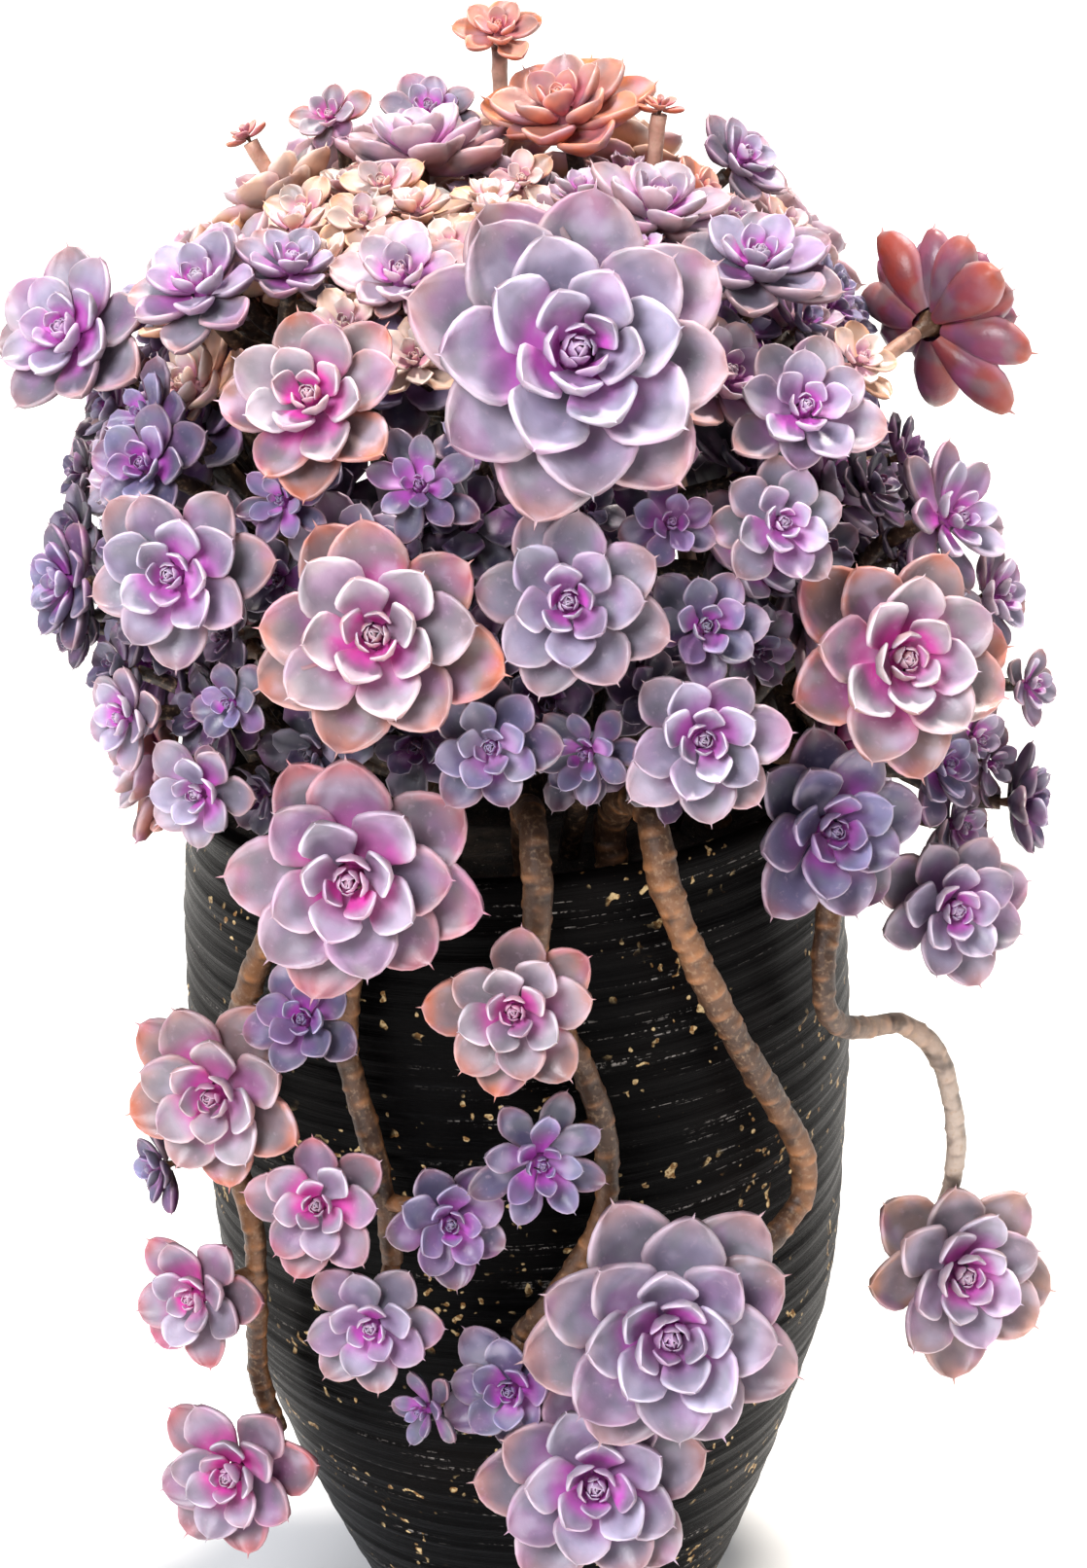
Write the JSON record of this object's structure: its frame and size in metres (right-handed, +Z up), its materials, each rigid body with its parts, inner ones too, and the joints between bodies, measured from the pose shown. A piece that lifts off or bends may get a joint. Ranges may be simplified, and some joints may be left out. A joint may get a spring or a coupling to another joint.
{
  "type": "potted succulent",
  "caption": "Mature graptopetalum: a dome of fleshy leaf rosettes on branching stems, some trailing down the side of a tall dark clay urn filled with soil.",
  "frame": {"origin": "centre of the urn's base, on the surface it stands on", "axes": "+Z up along the urn's axis, -Y towards the side the picture shows, +X to that side's right"},
  "size_m": [0.447, 0.4645, 0.7901],
  "materials": {
    "lilac": "satin",
    "peach": "satin",
    "rose": "satin",
    "slate": "satin",
    "bark": "matte",
    "clay": "satin",
    "soil": "matte"
  },
  "bodies": {
    "root": {"branch_0_0": "peach", "branch_1_0": "lilac", "branch_1_1": "lilac", "branch_1_2": "rose", "branch_1_3": "lilac", "branch_1_4": "slate", "branch_2_0": "lilac", "branch_2_1": "rose", "branch_2_2": "lilac", "branch_2_3": "slate", "branch_2_4": "slate", "branch_2_5": "peach", "branch_3_0": "lilac", "branch_3_1": "slate", "branch_3_10": "slate", "branch_3_11": "rose", "branch_3_2": "peach", "branch_3_3": "lilac", "branch_3_4": "lilac", "branch_3_5": "lilac", "branch_3_6": "peach", "branch_3_7": "rose", "branch_3_8": "lilac", "branch_3_9": "slate", "head_back_a": "lilac", "head_back_b": "rose", "head_back_c": "peach", "head_back_d": "lilac", "head_back_e": "slate", "head_back_f": "lilac", "head_back_g": "slate", "head_blue": "slate", "head_bottom_big": "lilac", "head_bottom_left": "rose", "head_bottom_mid": "lilac", "head_centre": "peach", "head_cluster_back": "slate", "head_cluster_dark": "slate", "head_cluster_low": "lilac", "head_cluster_orange": "peach", "head_cluster_rose": "rose", "head_cluster_side": "slate", "head_left_rose": "rose", "head_right_hang": "lilac", "head_under_dark": "slate", "pot": "clay", "soil": "soil", "stem_back": "bark", "stem_back_left": "bark", "stem_back_right": "bark", "stem_centre": "bark", "stem_far_left": "bark", "stem_left": "bark", "stem_long": "bark", "stem_loop": "bark"}
  },
  "joints": []
}
